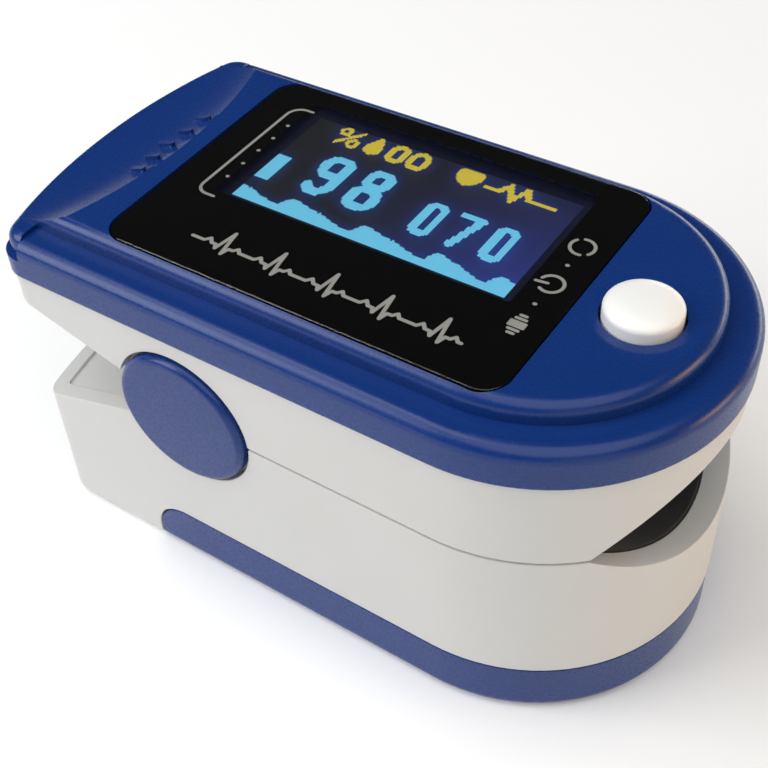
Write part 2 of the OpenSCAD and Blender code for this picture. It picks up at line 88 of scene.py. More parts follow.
def makeCamera(values):
    data = bpy.data.cameras.new("camera")
    data.lens = values["lens"]
    data.sensor_width = values["sensor"]
    data.shift_x, data.shift_y = values["shift"]
    data.clip_start, data.clip_end = values["clip"]
    azimuth, elevation, roll = (np.radians(values[key]) for key in ("azimuth", "elevation", "roll"))
    flat = np.cos(elevation)
    back = np.array([flat * np.cos(azimuth), flat * np.sin(azimuth), np.sin(elevation)])
    level = np.array([-np.sin(azimuth), np.cos(azimuth), 0])
    right = np.cos(roll) * level + np.sin(roll) * np.cross(back, level)
    scene.camera = bpy.data.objects.new("camera", data)
    standAt(scene.camera, np.array(values["place"]) * mm, right, back)


makeCamera(view)
scene.view_settings.view_transform = "Standard"


def linear(hexColour):
    # sRGB hex to linear light, channel by channel.
    channel = np.array([int(hexColour[i:i + 2], 16) for i in (1, 3, 5)]) / 255
    low, high = channel / 12.92, ((channel + 0.055) / 1.055) ** 2.4
    return (*np.where(channel <= 0.04045, low, high), 1.0)


def addNode(material, kind, settings=None, links=None):
    # Adds one node, sets its sockets or properties by name, and links sockets to outputs.
    tree = material.node_tree
    node = tree.nodes.new(kind)
    for key, value in (settings or {}).items():
        if isinstance(key, int) or key in node.inputs:
            node.inputs[key].default_value = value
        else:
            setattr(node, key, value)
    for key, output in (links or {}).items():
        tree.links.new(output, node.inputs[key])
    return node


def startMaterial(name, **settings):
    # A Principled material with plain settings, and its shader.
    material = bpy.data.materials.new(name)
    material.use_nodes = True
    shader = material.node_tree.nodes["Principled BSDF"]
    for key, value in settings.items():
        shader.inputs[key.replace("_", " ")].default_value = value
    return material, shader


def objectPlace(material):
    return addNode(material, "ShaderNodeTexCoord").outputs["Object"]


def addNoise(material, size, detail, **settings):
    # Noise over Object coordinates, with cells size mm wide.
    return addNode(material, "ShaderNodeTexNoise", {"Scale": 1 / (size * mm), "Detail": detail, **settings},
                   {"Vector": objectPlace(material)})


def mixTones(material, first, second, share):
    # From the first hex colour to the second as the share node's first output goes from 0 to 1.
    # Sockets 6 and 7 are the two colours of a Mix node.
    return addNode(material, "ShaderNodeMix", {"data_type": "RGBA", 6: linear(first), 7: linear(second)},
                   {0: share.outputs[0]})


def feed(material, output, socket):
    material.node_tree.links.new(output, socket)


def dress(material, shader, tone, source, low, high):
    # Colour from a tone node, and roughness from low to high by the source's first output.
    rough = addNode(material, "ShaderNodeMapRange", {"To Min": low, "To Max": high},
                    {"Value": source.outputs[0]})
    feed(material, tone.outputs[2], shader.inputs["Base Color"])
    feed(material, rough.outputs[0], shader.inputs["Roughness"])


def addGrain(material, shader, texture, depth):
    # A bump at half strength, with its depth in mm.
    bump = addNode(material, "ShaderNodeBump", {"Strength": 0.5, "Distance": depth * mm},
                   {"Height": texture.outputs[0]})
    feed(material, bump.outputs[0], shader.inputs["Normal"])


# Places and sizes are in metres, and power is in watts.
lights = {
    "leftWindow": {"place": (-0.30, -0.28, 0.28), "size": (0.30, 0.30), "power": 1.3, "tint": "#f8faff"},
    "backStrip": {"place": (0.10, 0.50, 0.06), "size": (0.60, 0.10), "power": 0.8, "tint": "#ffffff"},
    "overhead": {"place": (-0.20, -0.04, 0.44), "size": (0.24, 0.24), "power": 0.5, "tint": "#ffffff"},
    "frontFill": {"place": (0.42, -0.30, 0.10), "size": (0.30, 0.20), "power": 0.12, "tint": "#fff4e0"},
    "warmSide": {"place": (0.38, 0.16, 0.06), "size": (0.16, 0.12), "power": 0.40, "tint": "#ffc873"},
}

lightAim = (0.0, 0.0, 0.016)    # m, the middle of the object

skylight = {
    "place": (0.30, -0.30, 0.90),   # the direction it comes from
    "power": 1.6,
    "spread": 70,        # degrees
    "tint": "#f4f6fa",   # of the world
    "fill": 0.06,        # the light that the world gives
    "backdrop": 0.80,    # how bright the world is seen behind the floor
}


def makeLights(values):
    # Soft boxes that all look at the middle of the object.
    for name, light in values.items():
        data = bpy.data.lights.new(name, "AREA")
        data.shape = "RECTANGLE"
        data.size, data.size_y = light["size"]
        data.energy = light["power"]
        data.color = linear(light["tint"])[:3]
        back = np.array(light["place"]) - lightAim
        back /= np.linalg.norm(back)
        right = np.cross((0, 0, 1), back)
        right /= np.linalg.norm(right)
        standAt(bpy.data.objects.new(name, data), light["place"], right, back)


def makeSky(values):
    # A broad even light from above, and a world that is dim as a light and pale as a backdrop.
    data = bpy.data.lights.new("skylight", "SUN")
    data.energy = values["power"]
    data.angle = np.radians(values["spread"])
    lamp = bpy.data.objects.new("skylight", data)
    lamp.rotation_euler = Vector(values["place"]).to_track_quat("Z", "Y").to_euler()
    scene.collection.objects.link(lamp)
    world = bpy.data.worlds.new("sky")
    world.use_nodes = True
    tree = world.node_tree
    background = tree.nodes["Background"]
    background.inputs["Color"].default_value = linear(values["tint"])
    path = tree.nodes.new("ShaderNodeLightPath")
    level = tree.nodes.new("ShaderNodeMapRange")
    level.inputs["To Min"].default_value = values["fill"]
    level.inputs["To Max"].default_value = values["backdrop"]
    tree.links.new(path.outputs["Is Camera Ray"], level.inputs["Value"])
    tree.links.new(level.outputs["Result"], background.inputs["Strength"])
    scene.world = world


makeLights(lights)
makeSky(skylight)


def placeMesh(name, points, faces, body, material, smooth=True):
    # Puts points and faces, in metres, into a new piece that rides on a body.
    mesh = bpy.data.meshes.new(name)
    mesh.from_pydata(np.asarray(points, float).reshape(-1, 3).tolist(), [], faces)
    mesh.polygons.foreach_set("use_smooth", np.full(len(mesh.polygons), smooth))
    mesh.update()
    piece = bpy.data.objects.new(name, mesh)
    scene.collection.objects.link(piece)
    if material:
        mesh.materials.append(material)
    if body:
        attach(piece, body)
    return piece


def gridFaces(rows, columns, closeRows=False, closeColumns=False):
    # Quads between neighbouring rows and columns of a grid of points, wrapped round if closed.
    i = np.arange(rows if closeRows else rows - 1)
    j = np.arange(columns if closeColumns else columns - 1)
    i, j = np.meshgrid(i, j, indexing="ij")
    i2, j2 = (i + 1) % rows, (j + 1) % columns
    quads = np.stack([i * columns + j, i2 * columns + j, i2 * columns + j2, i * columns + j2], -1)
    return quads.reshape(-1, 4).tolist()


floorHalf = 9    # m


def makeFloor():
    material, shader = startMaterial("mattPaintedBoard", Roughness=0.9)
    cloud = addNode(material, "ShaderNodeTexNoise", {"Scale": 3.0, "Detail": 2.0},
                    {"Vector": objectPlace(material)})
    tone = mixTones(material, "#fafaf9", "#fefefd", cloud)
    feed(material, tone.outputs[2], shader.inputs["Base Color"])
    side = np.linspace(-floorHalf, floorHalf, 5)
    x, y = np.meshgrid(side, side, indexing="ij")
    points = np.stack([x, y, 0 * x], -1)
    floor = placeMesh("floor", points, gridFaces(len(side), len(side)), None, material)


makeFloor()
print("camera, lights and floor")


def mouldedPlastic(name, colour, shade, roughness, grain=0.28, depth=0.006, ior=1.53):
    # Moulded ABS. The mould's spark-eroded texture breaks the highlight up a little, and the
    # colour is a touch uneven where the plastic flowed. The grain is about 0.3 mm, coarser than
    # the real 0.1 mm so that it shows.
    material, shader = startMaterial(name, IOR=ior)
    flow = addNoise(material, 9, 3.0)
    texture = addNoise(material, grain, 2.0, Roughness=0.6)
    tone = mixTones(material, colour, shade, flow)
    dress(material, shader, tone, texture, roughness - 0.06, roughness + 0.08)
    addGrain(material, shader, texture, depth)
    return material


def siliconeRubber(name, colour, dusty="#2c2c2f"):
    # Moulded silicone rubber: matt, slightly dusty, with a soft fine grain.
    material, shader = startMaterial(name, IOR=1.41, Sheen_Weight=0.15, Sheen_Roughness=0.5)
    dust = addNoise(material, 2.5, 4.0)
    dress(material, shader, mixTones(material, colour, dusty, dust), dust, 0.62, 0.8)
    addGrain(material, shader, addNoise(material, 0.35, 2.0), 0.012)
    return material


def drawnSteel(name):
    # Drawn and plated spring steel: bright, with a mottle 0.3 mm wide in its tone and gloss.
    material, shader = startMaterial(name, Metallic=1.0)
    mottle = addNoise(material, 0.3, 3.0)
    dress(material, shader, mixTones(material, "#b9bcc0", "#d6d8da", mottle), mottle, 0.18, 0.38)
    return material


def plainFinish(name, colour, shade, roughness, size=3.0, **settings):
    # A smooth even finish with a faint mottle of the given size in mm.
    material, shader = startMaterial(name, **settings)
    cloud = addNoise(material, size, 3.0)
    tone = mixTones(material, colour, shade, cloud)
    dress(material, shader, tone, cloud, roughness - 0.05, roughness + 0.05)
    return material


def clearAcrylic():
    # Polished clear acrylic: a sharp reflection over whatever lies behind it.
    material, shader = startMaterial("clearAcrylic", IOR=1.49, Transmission_Weight=1.0)
    shader.inputs["Base Color"].default_value = linear("#fbfbfb")
    smear = addNoise(material, 14, 2.0)
    rough = addNode(material, "ShaderNodeMapRange", {"To Min": 0.02, "To Max": 0.06},
                    {"Value": smear.outputs[0]})
    feed(material, rough.outputs[0], shader.inputs["Roughness"])
    return material


def litPixel(name, colour, strength):
    # An organic light-emitting pixel: even, saturated light of its own.
    material, shader = startMaterial(name, Roughness=0.6)
    shader.inputs["Base Color"].default_value = linear("#101010")
    shader.inputs["Emission Color"].default_value = linear(colour)
    shader.inputs["Emission Strength"].default_value = strength
    return material


def solderMask(name, cell=1.6):
    # Green solder mask, semi-gloss, with its tracks as paler lines on a grid of cells in mm.
    material, shader = startMaterial(name, IOR=1.5, Roughness=0.35)
    scaled = addNode(material, "ShaderNodeMapping", {"Scale": (1 / (cell * mm),) * 3},
                     {"Vector": objectPlace(material)})
    look = {"Scale": 1.0, "Mortar Size": 0.06, "Mortar Smooth": 0.2, "Color1": linear("#0f5a33"),
            "Color2": linear("#126439"), "Mortar": linear("#2d8a55")}
    tracks = addNode(material, "ShaderNodeTexBrick", look, {"Vector": scaled.outputs[0]})
    feed(material, tracks.outputs[0], shader.inputs["Base Color"])
    return material


blueAbs = mouldedPlastic("mouldedAbsBlue", "#0e3479", "#0c2f70", 0.27, depth=0.0025, ior=1.43)
whiteAbs = mouldedPlastic("mouldedAbsWhite", "#d3d2cf", "#cdccc8", 0.42, grain=0.32, depth=0.005)
buttonAbs = mouldedPlastic("mouldedAbsButton", "#fdfcf7", "#faf9f3", 0.34, grain=0.3, depth=0.004)
rubber = siliconeRubber("siliconeRubber", "#141416")
steel = drawnSteel("drawnSteel")
acrylic = clearAcrylic()
backPrint = plainFinish("blackBackPrint", "#050505", "#080808", 0.6, 6.0, IOR=1.08)
greyPrint = plainFinish("greyPrintInk", "#8c8a84", "#98968f", 0.6, 1.0)
panelGlass = plainFinish("displayGlass", "#0b1233", "#0e1740", 0.2, 8.0, IOR=1.5)
redEpoxy = plainFinish("tintedEpoxy", "#7d2a20", "#8d3327", 0.18, 2.0, Transmission_Weight=0.35, IOR=1.52)
boardMask = solderMask("solderMask")
chipEpoxy = plainFinish("mouldedChipEpoxy", "#17171a", "#202024", 0.55, 0.8)
whitePart = plainFinish("whiteNylon", "#e8e4da", "#efece4", 0.5, 2.0)
filmAmber = plainFinish("polyimideFilm", "#a9661c", "#8f4f12", 0.3, 1.5)
cyanPixel = litPixel("cyanPixel", "#6fd0f2", 1.0)
yellowPixel = litPixel("yellowPixel", "#d9c32e", 1.0)
print("materials")


mergeGap = 2e-7                # m, points closer than this are one
flatAngle = np.radians(0.4)    # faces that meet flatter than this are one


def refinedCopy(node, name, body, material, edge, angle=32):
    # A merged copy of a CAD node. Its sharp edges get a small round of edge mm, or none at 0.
    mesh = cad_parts[node].data.copy()
    mesh.name = name
    work = bmesh.new()
    work.from_mesh(mesh)
    bmesh.ops.remove_doubles(work, verts=work.verts, dist=mergeGap)
    bmesh.ops.dissolve_limit(work, angle_limit=flatAngle, verts=work.verts, edges=work.edges)
    work.to_mesh(mesh)
    work.free()
    mesh.materials.clear()
    mesh.materials.append(material)
    piece = bpy.data.objects.new(name, mesh)
    scene.collection.objects.link(piece)
    mesh.polygons.foreach_set("use_smooth", np.full(len(mesh.polygons), True))
    mesh.set_sharp_from_angle(angle=np.radians(angle))
    if edge > 0:
        bevel = piece.modifiers.new("edges", "BEVEL")
        bevel.width = edge * mm
        bevel.segments = 2
        bevel.limit_method = "ANGLE"
        bevel.angle_limit = np.radians(angle)
        bevel.use_clamp_overlap = False
    even = piece.modifiers.new("evenNormals", "WEIGHTED_NORMAL")
    even.keep_sharp = edge == 0
    even.weight = 50
    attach(piece, body)
    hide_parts(node)
    return piece


refinedCopy("top_cover", "topCover", "upper_half", blueAbs, 0.0, angle=13)
refinedCopy("upper_shell", "upperCase", "upper_half", whiteAbs, 0.10)
refinedCopy("lower_shell", "lowerCase", "lower_half", whiteAbs, 0.10)
refinedCopy("battery_cover", "batteryCover", "battery_cover", blueAbs, 0.10)
refinedCopy("side_discs", "hingeDiscs", "lower_half", blueAbs, 0.05)
refinedCopy("lower_pad", "lowerPad", "lower_half", rubber, 0.15)
refinedCopy("upper_pad", "upperPad", "upper_half", rubber, 0.15)

button = {
    "flange": (0.7, 0.5),     # mm, how far the hidden flange stands out, and its thickness
    "above": 0.95,            # mm of the cap that is rounded
    "squareness": 2.5,        # 2 is an ellipse, more is boxier
    "sides": 96,
}
axisGap = 1e-4    # mm, the least radius of a profile, in place of a point on its axis


def makeButton(values):
    # Cap: |r / R| ** n + |z / h| ** n = 1 above the stem, which is a plain cylinder.
    low, high = (corner / mm for corner in nodeBox("power_button"))
    centre, sides = (low + high) / 2, values["sides"]
    reach, thick = values["flange"]
    outer, step = (high[0] - low[0]) / 2, low[2] + thick
    stem = outer - reach
    turn = np.linspace(np.pi / 2, 0, 30)
    power = 2 / values["squareness"]
    r = np.maximum(stem * np.cos(turn).clip(0, 1) ** power, axisGap)
    z = high[2] - values["above"] * (1 - np.sin(turn) ** power)
    foot = [(stem, step), (outer, step), (outer, low[2]), (axisGap, low[2])]
    profile = np.concatenate([np.stack([r, z], -1), foot])
    angle = np.linspace(0, 2 * np.pi, sides, endpoint=False)
    points = np.stack([centre[0] + profile[:, :1] * np.cos(angle), centre[1] + profile[:, :1] * np.sin(angle),
                       np.broadcast_to(profile[:, 1:], (len(profile), sides))], -1)
    faces = gridFaces(len(profile), sides, closeColumns=True)
    cap = placeMesh("powerButton", points * mm, faces, "power_button", buttonAbs)
    cap.data.set_sharp_from_angle(angle=np.radians(50))
    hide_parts("power_button")


makeButton(button)
print("case pieces")

cadFinish = {
    "sensor_window": redEpoxy, "emitter_window": redEpoxy, "sensor_board": boardMask,
    "emitter_board": boardMask, "main_board": boardMask, "board_parts": chipEpoxy,
    "tact_switch": chipEpoxy, "switch_plunger": whitePart, "oled_carrier": whitePart,
    "oled_panel": panelGlass, "battery_contacts": steel,
}
for node, material in cadFinish.items():
    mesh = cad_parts[node].data
    mesh.materials.clear()
    mesh.materials.append(material)
refinedCopy("cover_screws", "coverScrews", "upper_half", steel, 0.06)
refinedCopy("hinge_pin", "hingePin", "lower_half", steel, 0.15)
print("inner pieces")

lens = {
    "film": 0.12,        # mm of clear acrylic over the print
    "border": 0.04,      # mm between the print and the lens's edge
    "corner": 1.9,       # mm, radius of the print's corners
    "window": (26.2, 14.0),   # mm, opening in the print
    "windowCorner": 0.3,
    "skirt": 0.05,       # mm from the lens's underside to the foot of the print
    "pitch": 0.1902,     # mm from pixel to pixel
    "fill": 0.94,        # share of the pitch that lights up
    "grid": (128, 64),   # pixels along X and along Y
    "margin": (1.77, 5.21),   # mm from the panel's corner to the first pixel
    "paintedGlowLift": 0.01,    # mm from the panel to the painted glow sheet
    "pixelLift": 0.03,
}
litCorner = panelLow[:2] + np.array(lens["margin"]) * mm
litSize = np.array(lens["grid"]) * lens["pitch"] * mm
faceZ = lensHigh[2]
refinedCopy("display_lens", "lensPane", "upper_half", acrylic, 0.14)


def roundedLoop(low, high, radius, steps=14):
    # A rectangle's outline with round corners: each corner is a centre plus a quarter circle.
    turn = np.linspace(0, np.pi / 2, steps)
    signs = np.array([(1, 1), (-1, 1), (-1, -1), (1, -1)])
    angle = turn[None, :] + np.arange(4)[:, None] * np.pi / 2
    centre = (low + high) / 2 + signs * ((high - low) / 2 - radius)
    loop = centre[:, None, :] + radius * np.stack([np.cos(angle), np.sin(angle)], -1)
    return loop.reshape(-1, 2)


def makeFilmPrint():
    # The black print: straight lines from the lens's outline to the window's, at one height, and
    # a skirt down the lens's sides.
    border = lens["border"] * mm
    outer = roundedLoop(lensLow[:2] + border, lensHigh[:2] - border, lens["corner"] * mm)
    middle, half = litCorner + litSize / 2, np.array(lens["window"]) * mm / 2
    inner = roundedLoop(middle - half, middle + half, lens["windowCorner"] * mm)
    share = np.linspace(0, 1, 7)[:, None, None]
    flat = outer * (1 - share) + inner * share
    points = np.concatenate([flat, np.full(flat.shape[:2] + (1,), faceZ - lens["film"] * mm)], -1)
    skirt = np.concatenate([outer, np.full((len(outer), 1), lensLow[2] + lens["skirt"] * mm)], -1)
    points = np.concatenate([skirt[None], points])
    faces = gridFaces(len(points), len(outer), closeColumns=True)
    film = placeMesh("filmPrint", points, faces, "upper_half", backPrint)
    film.data.set_sharp_from_angle(angle=np.radians(40))


# Places and sizes in display pixels, with columns along X and rows along Y. A ring is a centre,
# a half size, a corner radius and half the width of its line. A stroke is half the width of its
# line and the points that it joins.
figures = {
    "bar": (7, 15, 33),     # its right edge, bottom and top
    "cyanRings": [
        ((27.75, 36.2), (5.0, 5.9), 4.2, 2.3), ((48.3, 37.3), (4.3, 4.8), 3.6, 2.3),
        ((48.3, 24.3), (5.0, 5.9), 4.2, 2.3), ((79.2, 26.2), (3.4, 9.4), 3.0, 1.85),
        ((111.2, 26.2), (3.4, 9.4), 3.0, 1.85)],
    "cyanStrokes": [
        (2.3, [(32.75, 36), (32.75, 23.5), (29.4, 18.5), (25.4, 18.5), (22.8, 21.4)]),
        (1.85, [(91, 35.5), (98.6, 35.5)]), (1.85, [(98.8, 35), (93.9, 16.8)])],
    "yellowRings": [
        ((16.4, 60.8), (2.0, 2.2), 1.7, 1.0), ((23.2, 54.4), (2.0, 2.2), 1.7, 1.0),
        ((44.6, 57.2), (3.2, 5.0), 3.0, 1.45), ((55.0, 57.2), (3.2, 5.0), 3.0, 1.45)],
    "yellowStrokes": [
        (0.95, [(15.6, 52.4), (24.2, 62.8)]),
        (1.25, [(88, 56), (94, 56), (97, 61.5), (101, 52.2), (104.5, 62.2), (107.5, 56), (119, 56)])],
    "drop": (33.2, 55.6, 4.3, 8.8),   # centre, radius, and height from the centre to the tip
    "heart": (79, 56.8, 5.6, 5.2),    # centre and half size
}

# The pulse trace: its rows, and its shape as shares of one beat.
pulse = {
    "starts": (-15.0, 19.4, 54.8, 89.6, 116.6, 150.0),    # columns where a beat starts
    "foot": 3.6,
    "height": 6.1,
    "rise": 0.14,
    "hold": 0.24,
    "hump": (0.6, 0.07, 0.8),    # middle and width as shares, and height in rows
}


def strokeMask(x, y, ends, width):
    # True within width of a straight stroke: the distance to the nearest point of the segment.
    x0, y0, x1, y1 = ends
    along = np.clip(((x - x0) * (x1 - x0) + (y - y0) * (y1 - y0)) / ((x1 - x0) ** 2 + (y1 - y0) ** 2), 0, 1)
    return np.hypot(x - x0 - along * (x1 - x0), y - y0 - along * (y1 - y0)) < width


def ringMask(x, y, centre, half, radius, width):
    # True within width of a rounded rectangle's outline.
    qx, qy = abs(x - centre[0]) - half[0] + radius, abs(y - centre[1]) - half[1] + radius
    distance = np.hypot(np.maximum(qx, 0), np.maximum(qy, 0)) + np.minimum(np.maximum(qx, qy), 0) - radius
    return abs(distance) < width


def pulseHeight(column):
    # Height of the pulse trace: a steep rise, then a slow fall with a small second hump.
    starts = np.array(pulse["starts"])
    beat = np.clip(np.searchsorted(starts, column) - 1, 0, len(starts) - 2)
    part = (column - starts[beat]) / (starts[beat + 1] - starts[beat])
    rise = np.clip(part / pulse["rise"], 0, 1)
    fall = np.clip((part - pulse["hold"]) / (1 - pulse["hold"]), 0, 1)
    middle, width, extra = pulse["hump"]
    hump = np.exp(-((part - middle) / width) ** 2)
    smooth = rise ** 2 * (3 - 2 * rise)
    return pulse["foot"] + pulse["height"] * smooth * (1 - fall) ** 1.1 + extra * hump


def drawMask(x, y, rings, strokes):
    # True for each pixel on one of the rings or strokes.
    mask = np.zeros(x.shape, bool)
    for ring in rings:
        mask |= ringMask(x, y, *ring)
    for width, points in strokes:
        for begin, end in zip(points, points[1:]):
            mask |= strokeMask(x, y, begin + end, width)
    return mask


def litMasks():
    # Which pixels are cyan and which are yellow.
    columns, rows = lens["grid"]
    x, y = np.meshgrid(np.arange(columns) + 0.5, np.arange(rows) + 0.5, indexing="ij")
    right, bottom, top = figures["bar"]
    cyan = drawMask(x, y, figures["cyanRings"], figures["cyanStrokes"])
    cyan |= (x < right) & (y > bottom) & (y < top)
    cyan |= y < pulseHeight(x)
    yellow = drawMask(x, y, figures["yellowRings"], figures["yellowStrokes"])
    dropX, dropY, radius, tip = figures["drop"]
    taper = radius * np.clip(1 - (y - dropY) / tip, 0, 1) ** 0.75
    yellow |= np.hypot(x - dropX, y - dropY) < radius
    yellow |= (y > dropY) & (abs(x - dropX) < taper)
    heartX, heartY, wide, tall = figures["heart"]
    hx, hy = (x - heartX) / wide, (y - heartY) / tall
    yellow |= (hx ** 2 + hy ** 2 - 1) ** 3 - hx ** 2 * hy ** 3 < 0
    return cyan, yellow


def pixelPlace(column, row):
    # Pixel columns and rows to metres on the panel.
    return litCorner[0] + column * lens["pitch"] * mm, litCorner[1] + row * lens["pitch"] * mm


def makePixels(name, mask, material):
    # One small square for each lit pixel.
    column, row = np.nonzero(mask)
    x, y = pixelPlace(column + 0.5, row + 0.5)
    half = lens["pitch"] * lens["fill"] * mm / 2
    corner = np.array([(-1, -1), (1, -1), (1, 1), (-1, 1)]) * half
    height = panelHigh[2] + lens["pixelLift"] * mm
    points = np.stack([x[:, None] + corner[:, 0], y[:, None] + corner[:, 1],
                       np.full((len(x), 4), height)], -1)
    faces = np.arange(4 * len(x)).reshape(-1, 4).tolist()
    placeMesh(name, points, faces, "upper_half", material, False)


# Each part of the painted glow is a colour and a strength: a faint painted glow over the whole panel, a
# painted halo round the lit pixels, and a painted wash of light to the right.
paintedGlow = {
    "reach": 3.6,        # pixels over which the painted halo round a lit pixel fades
    "paintedGroundGlow": ("#1b1c22", 0.8),
    "paintedHalo": ("#052263", 1.7),
    "paintedWash": ("#1c2a74", 1.0),
    "paintedWashStart": 0.35,   # share of the panel's length where the painted wash begins
}


def tinted(share, light):
    # A share of a light as red, green and blue.
    colour, strength = light
    return share[..., None] * strength * np.array(linear(colour)[:3])


def makePaintedGlow(lit):
    # A sheet of painted glow over the panel: a faint even glow, the lit pixels spread out softly as a painted
    # halo, plus a painted wash of light to the right.
    spread = lit.astype(float)
    steps = np.arange(-9, 10)
    weight = np.exp(-(steps / paintedGlow["reach"]) ** 2)
    weight /= weight.sum()
    for axis in (0, 1):
        spread = np.apply_along_axis(np.convolve, axis, spread, weight, "same")
    columns, rows = lens["grid"]
    column, row = np.meshgrid(np.linspace(0, columns, columns), np.linspace(0, rows, rows), indexing="ij")
    x, y = pixelPlace(column, row)
    points = np.stack([x, y, np.full_like(x, panelHigh[2] + lens["paintedGlowLift"] * mm)], -1)
    along = np.clip((column / columns - paintedGlow["paintedWashStart"]) / (1 - paintedGlow["paintedWashStart"]), 0, 1)
    paintedWash = along ** 1.3 * np.clip(1.2 - row / rows, 0.25, 1)
    # Painted light: an even glow, a halo round the lit pixels and a wash to the right, all given as emission.
    tone = (tinted(np.ones_like(paintedWash), paintedGlow["paintedGroundGlow"]) + tinted(spread, paintedGlow["paintedHalo"])
            + tinted(paintedWash, paintedGlow["paintedWash"]))
    material, shader = startMaterial("paintedGlowPanel", Roughness=0.3)
    shader.inputs["Base Color"].default_value = linear("#0a0b12")
    shader.inputs["Emission Strength"].default_value = 1.0
    source = addNode(material, "ShaderNodeVertexColor", {"layer_name": "paintedGlow"})
    feed(material, source.outputs["Color"], shader.inputs["Emission Color"])
    sheet = placeMesh("paintedPanelGlow", points, gridFaces(columns, rows), "upper_half", material)
    layer = sheet.data.color_attributes.new("paintedGlow", "FLOAT_COLOR", "POINT")
    layer.data.foreach_set("color", np.concatenate([tone, np.ones(tone.shape[:2] + (1,))], -1).ravel())


makeFilmPrint()
cyanMask, yellowMask = litMasks()
makePaintedGlow(cyanMask | yellowMask)
makePixels("cyanPixels", cyanMask, cyanPixel)
makePixels("yellowPixels", yellowMask, yellowPixel)
print("display:", int(cyanMask.sum()), "cyan and", int(yellowMask.sum()), "yellow pixels")

# Millimetres on the lens, from the origin of the frame.
ink = {
    "line": 0.13,        # half width of the bracket's line
    "trace": 0.15,
    "icon": 0.13,
    "lift": 0.004,       # height above the lens
    "bracket": (-15.1, -13.3, -4.3, 9.05, 1.25),   # left, ends, bottom, top, corner radius
    "lowCorner": 0.8,    # the lower corner's radius as a share of the upper one's
    "dots": (-14.0, (6.42, 4.38, 2.40, 0.35, -1.66)),
    "dotRadius": 0.15,
    "icons": 13.95,      # x of the column of icons
    "iconDots": (1.91, -2.88),
    "iconRadius": 0.92,
    "turnArrow": (4.27, (142, 284), (322, 464)),   # y, and each arc's ends in degrees
    "power": (-0.45, (-125, 160), (-1.15, -0.62, -0.25, -0.50)),   # y, arc, and bar from the icons' x
    "bars": ((0.22, -4.35), (0.38, -4.72), (0.55, -5.1), (0.55, -5.32), (0.55, -5.54), (0.38, -5.92),
             (0.22, -6.3)),    # half length and y
    "beat": ((0, 0), (1.1, 0), (1.45, 0.42), (1.8, 0), (2.2, 0), (2.42, -0.42), (2.8, 1.75),
             (3.2, -0.72), (3.42, 0), (3.8, 0), (4.1, 0.36), (4.4, 0)),
    "beatLength": 4.66,
    "beats": 5,
    "traceStart": (-11.6, -8.9),
}


def arcStrokes(centre, radius, start, stop, steps=16):
    # Short straight strokes along an arc, as rows of x0, y0, x1, y1 in mm; angles in degrees.
    angle = np.radians(np.linspace(start, stop, steps))
    points = np.stack([centre[0] + radius * np.cos(angle), centre[1] + radius * np.sin(angle)], -1)
    return np.concatenate([points[:-1], points[1:]], -1)


layerStep = 0.0004    # mm between strokes that overlap, so that they don't share a plane


def inkPiece(name, strokes, width):
    # Each stroke is one face between two half circles, so its ends are round.
    strokes = np.asarray(strokes, float)
    direction = strokes[:, 2:] - strokes[:, :2]
    heading = np.arctan2(direction[:, 1], direction[:, 0])
    turn = np.linspace(np.pi / 2, 3 * np.pi / 2, 9)
    angle = np.concatenate([turn, turn + np.pi])[None, :] + heading[:, None]
    centre = np.repeat(strokes.reshape(-1, 2, 2), len(turn), 1)
    loop = centre + width * np.stack([np.cos(angle), np.sin(angle)], -1)
    height = faceZ + (ink["lift"] + np.arange(len(loop)) % 3 * layerStep) * mm
    points = np.concatenate([loop * mm, np.broadcast_to(height[:, None, None], loop.shape[:2] + (1,))], -1)
    faces = np.arange(points.shape[0] * points.shape[1]).reshape(len(loop), -1).tolist()
    placeMesh(name, points, faces, "upper_half", greyPrint, False)


def makePrintMarks():
    left, ends, bottom, top, corner = ink["bracket"]
    low = corner * ink["lowCorner"]
    bracket = np.concatenate([
        [(ends, top, left + corner, top)], arcStrokes((left + corner, top - corner), corner, 90, 180),
        [(left, top - corner, left, bottom + low)], arcStrokes((left + low, bottom + low), low, 180, 270),
        [(left + low, bottom, ends, bottom)]])
    inkPiece("rangeBracket", bracket, ink["line"])
    dotX, dotRows = ink["dots"]
    icons, radius = ink["icons"], ink["iconRadius"]
    places = [(dotX, y) for y in dotRows] + [(icons, y) for y in ink["iconDots"]]
    inkPiece("rangeDots", [(x, y, x + 0.05, y) for x, y in places], ink["dotRadius"])
    turnY, *turnArcs = ink["turnArrow"]
    powerY, powerArc, powerBar = ink["power"]
    symbols = np.concatenate([
        *(arcStrokes((icons, turnY), radius, *arc) for arc in turnArcs),
        arcStrokes((icons, powerY), radius, *powerArc), [np.array(powerBar) + (icons, 0, icons, 0)]])
    inkPiece("turnAndPowerSymbols", symbols, ink["icon"])
    inkPiece("levelBars", [(icons - half, y, icons + half, y) for half, y in ink["bars"]], ink["icon"])
    length, count = ink["beatLength"], ink["beats"]
    line = np.concatenate([np.array(ink["beat"]) + (k * length, 0) for k in range(count)]
                          + [[(count * length, 0)]]) + ink["traceStart"]
    inkPiece("pulseTrace", np.concatenate([line[:-1], line[1:]], -1), ink["trace"])


makePrintMarks()
print("print on the lens")


